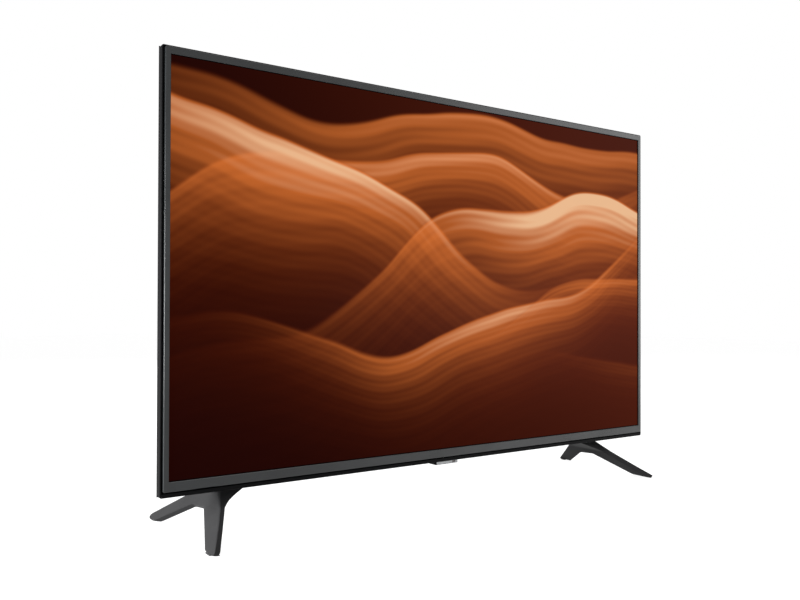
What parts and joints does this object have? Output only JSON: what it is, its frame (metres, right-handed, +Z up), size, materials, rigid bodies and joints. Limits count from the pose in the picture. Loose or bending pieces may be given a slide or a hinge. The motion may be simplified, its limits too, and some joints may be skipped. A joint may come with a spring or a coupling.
{
  "type": "flat screen television",
  "caption": "Flat screen television on two forked feet, with a thin bezel, lit screen, deep rear housing, sockets, wall-mount holes and a control stick under the lower edge.",
  "frame": {"origin": "on the floor, under the middle of the whole object's box", "axes": "+X to the right as seen from the front, +Y towards the back, +Z up; the screen faces -Y"},
  "size_m": [0.969, 0.1995, 0.6329],
  "materials": {
    "bezel_satin": "satin charcoal, finely brushed",
    "cover_plastic": "black, fine moulded grain",
    "foot_plastic": "dark grey, fine satin grain",
    "screen_glass": "semi-matt front film over a lit picture",
    "foam": "closed-cell foam",
    "inner_plastic": "moulded",
    "white_film": "diffusing",
    "clear_plastic": "clear",
    "tray_steel": "galvanised",
    "board_green": "solder mask",
    "strip_white": "white coated",
    "film_amber": "polyimide",
    "ribbon_white": "flat cable",
    "wire_black": "insulation",
    "sink_aluminium": "extruded",
    "core_ferrite": "sintered",
    "can_black": "sleeved can",
    "shell_metal": "tinned",
    "socket_black": "moulded",
    "pin_metal": "plated",
    "screw_steel": "black zinc",
    "post_steel": "zinc plated",
    "cone_paper": "pressed fibre",
    "soft_rubber": "soft",
    "trim_silver": "satin silver",
    "window_dark": "dark red, clear to the remote's light",
    "stick_black": "moulded"
  },
  "bodies": {
    "set": {"front_bezel": "bezel_satin", "panel_gasket": "foam", "lcd_cell": "screen_glass", "middle_frame": "inner_plastic", "prism_sheet": "white_film", "diffuser_sheet": "white_film", "diffuser_plate": "white_film", "reflector_sheet": "white_film", "led_strips": "strip_white", "led_chips": "clear_plastic", "led_lenses": "clear_plastic", "diffuser_pins": "clear_plastic", "back_chassis": "tray_steel", "flex_films": "film_amber", "source_boards": "board_green", "tcon_board": "board_green", "panel_ribbon": "ribbon_white", "power_board": "board_green", "power_transformers": "core_ferrite", "power_capacitors": "can_black", "power_heatsinks": "sink_aluminium", "main_board": "board_green", "main_heatsink": "sink_aluminium", "tuner_can": "shell_metal", "wifi_module": "board_green", "board_standoffs": "post_steel", "board_screws": "post_steel", "led_lead": "wire_black", "speaker_leads": "wire_black", "hdmi_ports": "shell_metal", "usb_ports": "shell_metal", "port_tongues": "socket_black", "lan_port": "socket_black", "optical_socket": "socket_black", "aerial_socket": "pin_metal", "audio_socket": "socket_black", "socket_trays": "cover_plastic", "ac_inlet": "socket_black", "inlet_pins": "pin_metal", "speaker_boxes": "inner_plastic", "speaker_drivers": "core_ferrite", "speaker_cones": "cone_paper", "speaker_grommets": "soft_rubber", "rear_cover": "cover_plastic", "rear_cover_screws": "screw_steel", "vesa_posts": "post_steel", "foot_right": "foot_plastic", "foot_left": "foot_plastic", "foot_pads": "soft_rubber", "foot_screws": "screw_steel", "foot_brackets": "tray_steel", "sensor_pod": "cover_plastic", "pod_trim": "trim_silver", "receiver_window": "window_dark", "pod_board": "board_green", "switch_housing": "inner_plastic"},
    "stick_ring": {"joystick_ring": "inner_plastic"},
    "stick_yoke": {"joystick_yoke": "inner_plastic"},
    "stick": {"joystick_stem": "post_steel", "joystick_cap": "stick_black"}
  },
  "joints": [
    {"name": "stick_tilt_fore_aft", "type": "hinge", "parent": "set", "child": "stick_ring", "pos_m": [0, -0.02825, 0.0725], "axis": [1, 0, 0], "range_deg": [-4, 4], "stiffness_Nm_per_rad": 0.03},
    {"name": "stick_tilt_sideways", "type": "hinge", "parent": "stick_ring", "child": "stick_yoke", "pos_m": [0, -0.02825, 0.0725], "axis": [0, 1, 0], "range_deg": [-4, 4], "stiffness_Nm_per_rad": 0.03},
    {"name": "stick_press", "type": "slide", "parent": "stick_yoke", "child": "stick", "axis": [0, 0, 1], "range_m": [0, 0.0005], "stiffness_N_per_m": 4000, "springref_m": -0.0001}
  ]
}
